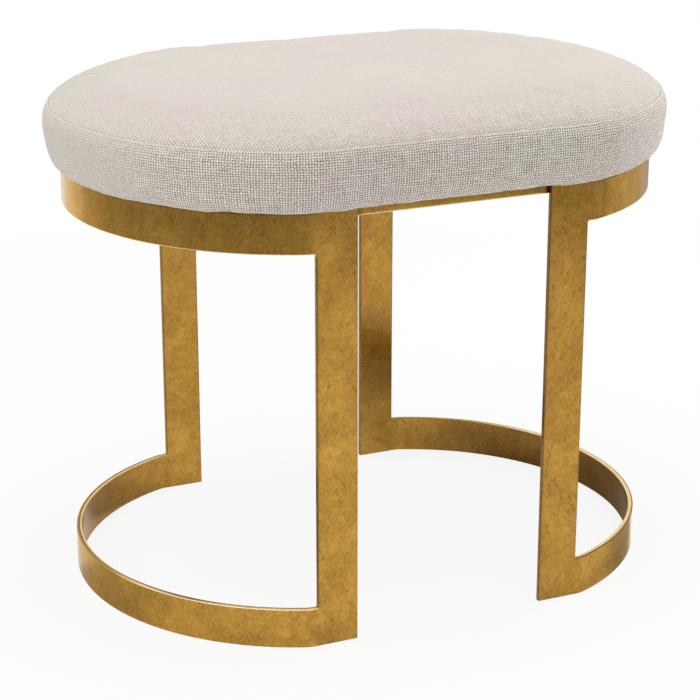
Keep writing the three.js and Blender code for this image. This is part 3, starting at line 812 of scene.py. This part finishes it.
# Top cloth, from under the seam up over the crown: the seam line drawn towards the seat's long middle
# line by a share e, at z = start + (crown - start) crownRise(e). The last row is the middle line itself.
def crownGrid(lipZ):
    cloth = crownCloth
    e = np.linspace(0, 1, cloth["rows"]) ** 2
    seam = base + seat["seamOut"] * out
    core = middleLine(seam)
    tuckOut, tuckDown = (np.array(cloth[key])[:, None] for key in ("tuckOut", "tuckDown"))
    tuck = withHeight(seam[None] + tuckOut[..., None] * out[None], lipZ + tuckDown)
    away = (seam - cloth["startIn"] * out - core)[None] * (1 - e)[:, None, None]
    swell = cloth["lump"] * np.sin(math.pi * np.clip(e * cloth["lumpOver"], 0, 1)) ** 2
    start = lipZ - cloth["startDown"]
    z = start + crownRise(e) * (seat["seamZ"] + seat["rise"] - start)
    crown = withHeight(core[None] + away, z[:, None] + swell[:, None] * wander(33, 2, 9)[None, :])
    crown[-1, :, 1] = 0
    crown[-1, :, 2] = crown[-1, :, 2].mean()
    grid = np.concatenate([tuck, crown])
    step = np.linalg.norm(np.diff(grid, axis=0), axis=2)
    left = np.concatenate([np.cumsum(step[::-1], 0)[::-1], np.zeros((1, len(seam)))])
    direction = (seam - core) / np.linalg.norm(seam - core, axis=1)[:, None]
    flat = core[None] + left[..., None] * direction[None]
    uv = np.concatenate([flat, flat[:, :1]], 1) * mm
    inwards = (seat["seamOut"] + halfDepth) * np.append(np.zeros(len(tuck)), e)
    pinholeShadeAndRelief = cloth["weaveShadeAndRelief"] - cloth["shadeFadeAway"] * smoothStep(inwards / cloth["shadeFadeOver"])
    return grid, uv, {"weaveShadeAndRelief": np.repeat(pinholeShadeAndRelief, len(seam)) * calmed(cloth, len(grid))}


pad = {
    "inset": 1.7, "topDrop": 3.2, "topGain": 1.2,            # inside the cloth, and below it at the seam
    "wallRows": (0.36, 0.96, 12), "topRows": (0.02, 1, 16),
}


# Foam body inside the cloth: flat on the board, the side's own swell, the crown's own rise. It uses every
# fifth column from the third, the same at the front and the back, so that the middle line closes.
def foamGrid():
    thin = slice(2, None, 5)
    s = np.linspace(*pad["wallRows"])
    o = sideOutset(s) - pad["inset"]
    wall = base[None, thin] + o[:, None, None] * out[None, thin]
    e = np.linspace(*pad["topRows"]) ** 2
    top = shrunkRows(base[thin] + (seat["seamOut"] - pad["inset"]) * out[thin], 1 - e)
    topZ = seat["seamZ"] - pad["topDrop"] + (seat["rise"] + pad["topGain"]) * crownRise(e)
    bottom = shrunkRows(wall[0], [0.0, 0.5])
    z = sideHeight(s)
    plan = np.concatenate([bottom, wall, top])
    plan[[0, -1], :, 1] = 0
    return withHeight(plan, np.concatenate([[z[0], z[0]], z, topZ])[:, None])


# Turns an open sheet over if its highest face looks down.
def faceUpwards(piece):
    highest = max(piece.data.polygons, key=lambda p: p.center.z)
    if highest.normal.z < 0:
        piece.data.flip_normals()
    return piece


# A wall of the given thickness (mm), laid on the inner side of the sheet.
def thicken(piece, thickness):
    wall = piece.modifiers.new("clothThickness", "SOLIDIFY")
    wall.thickness = thickness * mm
    wall.offset = -1
    return piece


swelling = {
    "voxel": 6, "frames": 20,
    "cap": 1.3,                           # no point moves further than this
    "boardTop": 412, "clearBoard": 12,    # held on the board, free this far above it
    "stitchDown": 2, "stitch": 7,         # held this far above and below the seam's foot
    "holds": 20,                          # steps between free and held
    "cloth": {
        "quality": 5, "mass": 0.3, "tension_stiffness": 20, "compression_stiffness": 20,
        "shear_stiffness": 8, "bending_stiffness": 1.5,
        "use_pressure": True, "uniform_pressure_force": 4.0,
        "shrink_min": -0.003,             # cut this share larger than the pad
        "vertex_group_mass": "held",
    },
}


# Cloth simulation of the pad under its cover: a copy of the foam, remeshed evenly, is blown up under
# pressure with its foot and its seam held. A point moves by d = cap tanh(|m| / cap) m / |m|, where m is what
# the simulation gave, and the foam and both cloths are carried along by Surface Deform. Returns the furthest
# move in mm.
def swellPad(body, pieces):
    view = bpy.context.view_layer
    pillow = bpy.data.objects.new("pillow", body.data.copy())
    bpy.context.scene.collection.objects.link(pillow)
    even = pillow.modifiers.new("even", "REMESH")
    even.mode = "VOXEL"
    even.voxel_size = swelling["voxel"] * mm
    view.update()
    mesh = bpy.data.meshes.new_from_object(pillow.evaluated_get(bpy.context.evaluated_depsgraph_get()))
    pillow.modifiers.clear()
    pillow.data = mesh

    def readPoints(shown):
        points = np.empty(len(shown.vertices) * 3, np.float32)
        shown.vertices.foreach_get("co", points)
        return points.reshape(-1, 3).astype(float)

    def writePoints(shown, points):
        shown.vertices.foreach_set("co", points.astype(np.float32).ravel())
        shown.update()

    rest = readPoints(mesh)
    z = rest[:, 2] / mm
    held = 1 - smoothStep((z - swelling["boardTop"]) / swelling["clearBoard"])
    fromStitch = np.abs(z - seat["seamZ"] + swelling["stitchDown"])
    held = np.maximum(held, 1 - smoothStep(fromStitch / swelling["stitch"]))
    steps = np.round(held * swelling["holds"]).astype(int)
    group = pillow.vertex_groups.new(name="held")
    for step in range(1, swelling["holds"] + 1):
        group.add(np.flatnonzero(steps == step).tolist(), step / swelling["holds"], "REPLACE")
    cloth = pillow.modifiers.new("swell", "CLOTH")
    for key, value in swelling["cloth"].items():
        setattr(cloth.settings, key, value)
    cloth.settings.effector_weights.gravity = 0
    cloth.point_cache.frame_start = 1
    cloth.point_cache.frame_end = swelling["frames"]
    for step in range(1, swelling["frames"] + 1):
        bpy.context.scene.frame_set(step)
    moved = readPoints(pillow.evaluated_get(bpy.context.evaluated_depsgraph_get()).data) - rest
    bpy.context.scene.frame_set(1)
    pillow.modifiers.clear()

    cap = swelling["cap"] * mm
    far = np.maximum(np.linalg.norm(moved, axis=1), 1e-9)
    moved = moved * (cap * np.tanh(far / cap) / far)[:, None]
    for piece in pieces:
        follow = piece.modifiers.new("follow", "SURFACE_DEFORM")
        follow.target = pillow
        with bpy.context.temp_override(object=piece, active_object=piece):
            bpy.ops.object.surfacedeform_bind(modifier=follow.name)
        if not follow.is_bound:
            raise RuntimeError(f"{piece.name} could not follow the pillow")
    writePoints(mesh, rest + moved)
    view.update()
    graph = bpy.context.evaluated_depsgraph_get()
    followed = [readPoints(piece.evaluated_get(graph).data) for piece in pieces]
    for piece, points in zip(pieces, followed):
        piece.modifiers.clear()
        writePoints(piece.data, points)
    bpy.data.objects.remove(pillow)
    return np.linalg.norm(moved, axis=1).max() / mm


grid, uv, marks, lipZ = boxingGrid()
coverBoxing = addGrid("coverBoxing", grid, uv, marks)
finishPiece(coverBoxing, linenSide, "linen", "cover_boxing")
sideFace = coverBoxing.data.polygons[len(coverBoxing.data.polygons) // 2]
if sideFace.normal.dot(Vector((sideFace.center.x, sideFace.center.y, 0))) < 0:
    coverBoxing.data.flip_normals()

coverTopPanel = faceUpwards(mended(addGrid("coverTopPanel", *crownGrid(lipZ))))
finishPiece(coverTopPanel, linenTop, "linen", "cover_top_panel")

foamPad = mended(addGrid("foamPad", foamGrid()))
finishPiece(foamPad, foam, "foam", "foam_pad")

most = swellPad(foamPad, (foamPad, coverBoxing, coverTopPanel))
print(f"cushion swollen, at most {most:.2f} mm")
thicken(coverBoxing, seat["sideCloth"])
thicken(coverTopPanel, seat["topCloth"])
print("cushion made")

liningCut = {"in": 6, "z": 398.35, "rings": 26, "thick": 0.4}


# Thin lining stretched over the underside: the plan 6 mm in, drawn to the middle line by even shares.
def liningGrid():
    plan = shrunkRows(base - liningCut["in"] * out, 1 - np.linspace(0, 1, liningCut["rings"]))
    plan[-1, :, 1] = 0
    return withHeight(plan, liningCut["z"])


dustCover = faceUpwards(mended(addGrid("dustCover", liningGrid())))
dustCover.data.flip_normals()
thicken(finishPiece(dustCover, lining, "lining", "dust_cover"), liningCut["thick"])

# Finishes of the CAD pieces that are kept as they are, by the start of their names
keptFinish = {
    "seat_screw": zinc, "seat_washer": zinc, "seat_tnut": zinc, "seat_board": plywood,
    "left_seat_tab": gold, "right_seat_tab": gold,
}
for name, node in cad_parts.items():
    for start, material in keptFinish.items():
        if name.startswith(start):
            node.data.materials.clear()
            node.data.materials.append(material)
print("kept parts finished")

studio = {
    "eye": (-0.7857, -1.7345, 0.8435), "look": (0.3871, 0.8641, -0.3218), "lens": 107.2,
    "sky": 0.55, "top": 24.0, "left": 7.0, "right": 19.0, "floor": 0.95, "paperGlow": 0.86,
    # near to glossShare: strengths of the floor's painted reflection in the gold
    "near": 1.2, "dim": 0.84, "strip": 0.2, "backDim": 0.70, "contact": 0.15, "inside": 0.40,
    "foot": 0.42, "tip": 0.6, "least": 0.28, "glossShare": 0.7,
}


# Area lamp facing a point, in metres and watts.
def addLamp(name, place, aim, size, power, glossy=True):
    lamp = bpy.data.lights.new(name, "AREA")
    lamp.shape = "RECTANGLE"
    lamp.size, lamp.size_y = size
    lamp.energy = power
    holder = bpy.data.objects.new(name, lamp)
    holder.location = place
    holder.rotation_euler = (Vector(aim) - Vector(place)).to_track_quat("-Z", "Y").to_euler()
    holder.visible_glossy = glossy
    bpy.context.scene.collection.objects.link(holder)


lens = bpy.data.cameras.new("camera")
lens.lens = studio["lens"]
lens.sensor_width = 36
lens.clip_start, lens.clip_end = 0.05, 60
camera = bpy.data.objects.new("camera", lens)
camera.location = studio["eye"]
camera.rotation_euler = Vector(studio["look"]).to_track_quat("-Z", "Y").to_euler()
bpy.context.scene.collection.objects.link(camera)
bpy.context.scene.camera = camera
bpy.context.scene.view_settings.view_transform = "Standard"

world = bpy.data.worlds.new("studioAir")
bpy.context.scene.world = world
world.use_nodes = True
air = NodeBench(world.node_tree)
rays = air.add("ShaderNodeLightPath")
seen = air.math("MAXIMUM", rays.outputs["Is Camera Ray"], rays.outputs["Is Transmission Ray"])
seen = air.math("MAXIMUM", seen, rays.outputs["Is Glossy Ray"])
background = world.node_tree.nodes["Background"]
background.inputs["Color"].default_value = (1, 1, 1, 1)
air.put(background.inputs["Strength"], air.scaled(seen, 1 - studio["sky"], studio["sky"]))

# Edges of the floor's light and dark areas in metres, each smooth from the first number to the second
floorEdges = {
    "front": (0.60, 1.45), "left": (0.15, 1.45), "farRight": (0.55, 0.95),
    "behind": (0.70, 0.85), "paperLeft": (-0.31, -0.27), "stripRight": (-0.10, 0.0),
    "contactIn": (-0.01, 0.0), "contactOut": (0.016, 0.032),
    "ring": (-0.008, 0.002), "leftRing": (0.15, 0.28),
    "legs": (0.10, 0.14), "ends": (0.17, 0.25), "leftEnd": (0.12, 0.20),
    "footIn": (-0.004, 0.002), "footOut": (0.06, 0.12),
    "footFront": (-0.14, -0.06), "footBack": (0.03, 0.06), "footLeft": (0.19, 0.25),
    "rightFrom": (0.13, 0.16), "rightOut": (0.12, 0.20), "rightFront": (-0.21, -0.155),
    "tipLine": (-0.345, -0.33), "tipFrom": (0.20, 0.24), "tipOut": (0.12, 0.16),
    "tipIn": (-0.004, 0.004), "tipBack": (0.0, 0.06),
}


# Painted reflection: what polished gold sees on the floor at (x, y), as a strength of white shown only to
# glossy rays: pale paper, dimmer in front, to the left and at the right, with a bright strip behind that
# ends at the paper's left edge. There is painted shade inside the rings and round the bands' feet, less
# inside the left end, and a bright tip beside the right band. clear is the distance outside the bands' outer
# line, sqrt(y^2 + (|x| - centre)^2) - radius.
def floorGlow(p, spot):
    edge = floorEdges
    split = p.add("ShaderNodeSeparateXYZ", {"Vector": spot})
    x, y = split.outputs[0], split.outputs[1]
    toLeft = p.times(x, -1.0)
    ahead = p.band(p.scaled(x, -0.45, p.times(y, -0.9)), *edge["front"])
    dim = p.math("MAXIMUM", ahead, p.band(p.scaled(y, -0.35, toLeft), *edge["left"]))
    behind = p.band(y, *edge["behind"])
    stripRight = p.band(x, *edge["stripRight"])
    strip = p.times(behind, p.band(p.scaled(y, 0.66, x), *edge["paperLeft"]), p.rest(stripRight))
    rightBack = p.math("MAXIMUM", p.times(behind, stripRight, 1.5), p.band(x, *edge["farRight"]))

    offMiddle = p.math("ABSOLUTE", x)
    beside = p.math("MAXIMUM", p.math("SUBTRACT", offMiddle, bandCentre * mm), 0.0)
    reach = p.math("SQRT", p.scaled(y, y, p.times(beside, beside)))
    clear = p.math("SUBTRACT", reach, bandRadius * mm)
    contact = p.times(p.band(clear, *edge["contactIn"]), p.fade(clear, *edge["contactOut"]))
    ringLine = p.scaled(p.band(toLeft, *edge["leftRing"]), 0.025, clear)
    deep = p.scaled(p.band(offMiddle, *edge["ends"]), 1.5, p.band(offMiddle, *edge["legs"]))
    deepLeft = p.scaled(p.band(toLeft, *edge["leftEnd"]), 0.35, 1.0)
    inside = p.times(p.fade(ringLine, *edge["ring"]), deep, deepLeft)

    leftFoot = p.times(
        p.band(clear, *edge["footIn"]), p.fade(clear, *edge["footOut"]), p.band(y, *edge["footFront"]),
        p.fade(y, *edge["footBack"]), p.band(toLeft, *edge["footLeft"]))
    tip = p.band(p.scaled(x, -0.875, y), *edge["tipLine"])
    rightFoot = p.times(
        p.band(x, *edge["rightFrom"]), p.fade(clear, *edge["rightOut"]), p.band(y, *edge["rightFront"]),
        p.rest(tip), 1.7)
    foot = p.math("MAXIMUM", leftFoot, rightFoot)
    shine = p.times(
        p.band(x, *edge["tipFrom"]), p.fade(clear, *edge["tipOut"]), tip,
        p.band(clear, *edge["tipIn"]), p.fade(y, *edge["tipBack"]))

    level = p.scaled(dim, -studio["dim"], studio["near"])
    level = p.scaled(strip, studio["strip"], level)
    for area, key in ((rightBack, "backDim"), (contact, "contact"), (inside, "inside"), (foot, "foot")):
        level = p.scaled(area, -studio[key], level)
    return p.math("MAXIMUM", p.scaled(shine, studio["tip"], level), studio["least"])


floorMesh = bpy.data.meshes.new("floor")
floorMesh.from_pydata([(-8, -8, 0), (8, -8, 0), (8, 8, 0), (-8, 8, 0)], [], [(0, 1, 2, 3)])
floor = bpy.data.objects.new("floor", floorMesh)
bpy.context.scene.collection.objects.link(floor)
paper, p, paperShader = newMaterial("floorPaper", (1, 1, 1, 1), {
    "Roughness": 0.9, "Base Color": (studio["floor"],) * 3 + (1,), "Specular IOR Level": 0.0})
floorRays = p.add("ShaderNodeLightPath")
spot = p.place()
distance = p.add("ShaderNodeVectorMath", {0: spot}, operation="LENGTH").outputs["Value"]
white = p.math("MAXIMUM", p.band(distance, 0.55, 1.3), studio["paperGlow"])
# Glossy rays mostly see floorGlow's emission, a painted reflection
glow, glossGlow = (
    p.add("ShaderNodeEmission", {"Color": (1, 1, 1, 1), "Strength": strength}).outputs[0]
    for strength in (1.0, floorGlow(p, spot)))
sheet = p.mixShader(p.times(white, floorRays.outputs["Is Camera Ray"]), paperShader.outputs[0], glow)
sheet = p.mixShader(p.times(floorRays.outputs["Is Glossy Ray"], studio["glossShare"]), sheet, glossGlow)
hole = p.add("ShaderNodeBsdfTransparent").outputs[0]
under = p.add("ShaderNodeNewGeometry").outputs["Backfacing"]
sheet = p.mixShader(p.times(under, floorRays.outputs["Is Camera Ray"]), sheet, hole)
p.put(paper.node_tree.nodes["Material Output"].inputs["Surface"], sheet)
floorMesh.materials.append(paper)

addLamp("topLamp", (-0.2, -0.2, 2.3), (0, 0, 0.3), (2.2, 2.2), studio["top"])
addLamp("leftLamp", (-2.1, 0.3, 0.9), (0, 0, 0.35), (1.0, 1.4), studio["left"], glossy=False)
addLamp("rightLamp", (2.1, 0.3, 0.9), (0, 0, 0.35), (1.0, 1.4), studio["right"], glossy=False)
print("studio ready")
